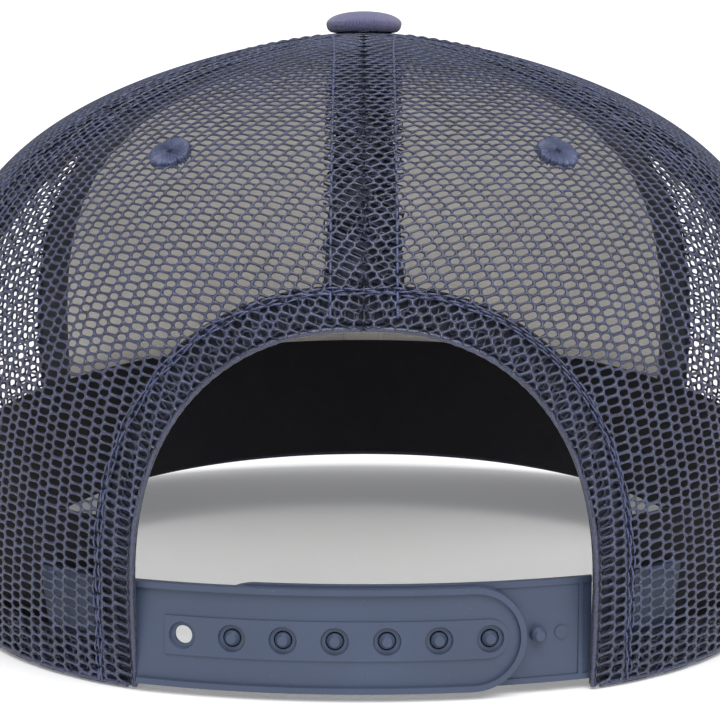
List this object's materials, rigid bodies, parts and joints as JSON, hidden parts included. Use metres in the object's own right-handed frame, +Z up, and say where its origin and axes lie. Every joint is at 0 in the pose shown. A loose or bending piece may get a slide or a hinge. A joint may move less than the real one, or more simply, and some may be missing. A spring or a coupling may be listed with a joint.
{
  "type": "trucker mesh cap",
  "caption": "Curved-visor trucker cap with a padded front, mesh sides and back, and an adjustable snap strap across the rear opening.",
  "frame": {"origin": "under the middle of the crown, on the plane that the rear rim stands on", "axes": "+Z up through the crown, -Y towards the visor, +X towards the wearer's left"},
  "size_m": [0.1844, 0.2541, 0.129],
  "materials": {
    "mesh": "knitted polyester net, satin yarn",
    "front_cloth": "twill weave, matt",
    "stiffener": "open buckram, matt",
    "mesh_tape": "doubled net, stitched",
    "seam_tape": "woven tape, matt",
    "sweatband": "brushed cotton twill, matt",
    "foam": "soft foam, matt",
    "embroidery": "satin stitched thread",
    "button_cloth": "satin twill",
    "button_metal": "plain",
    "visor_board": "plain",
    "strap_plastic": "moulded, satin"
  },
  "bodies": {
    "crown": {"arch_binding": "mesh_tape", "button_back_plate": "button_metal", "button_cover": "button_cloth", "button_rivet": "button_metal", "button_shell": "button_metal", "front_centre_tape": "seam_tape", "front_eyelet_left": "embroidery", "front_eyelet_right": "embroidery", "front_panel_left": "front_cloth", "front_panel_right": "front_cloth", "front_side_tape_left": "seam_tape", "front_side_tape_right": "seam_tape", "front_stiffener_left": "stiffener", "front_stiffener_right": "stiffener", "holed_strap_tab": "strap_plastic", "pegged_strap_tab": "strap_plastic", "rear_centre_tape": "mesh_tape", "rear_eyelet_left": "embroidery", "rear_eyelet_right": "embroidery", "rear_mesh_left": "mesh", "rear_mesh_right": "mesh", "rear_side_tape_left": "mesh_tape", "rear_side_tape_right": "mesh_tape", "side_mesh_left": "mesh", "side_mesh_right": "mesh", "sweatband": "sweatband", "sweatband_foam": "foam", "visor_board": "visor_board", "visor_edge_seam": "front_cloth", "visor_top_cover": "front_cloth", "visor_under_cover": "front_cloth"},
    "left_strap": {"holed_strap": "strap_plastic"},
    "right_strap": {"pegged_strap": "strap_plastic"}
  },
  "joints": [
    {"name": "left_strap_swing", "type": "hinge", "parent": "crown", "child": "left_strap", "pos_m": [0.0426, 0.08173, 0.0115], "axis": [0, 0, -1], "range_deg": [0, 70], "stiffness_Nm_per_rad": 0.004},
    {"name": "right_strap_swing", "type": "hinge", "parent": "crown", "child": "right_strap", "pos_m": [-0.0426, 0.07787, 0.0124], "axis": [0, 0, -1], "range_deg": [0, 60], "stiffness_Nm_per_rad": 0.004}
  ]
}
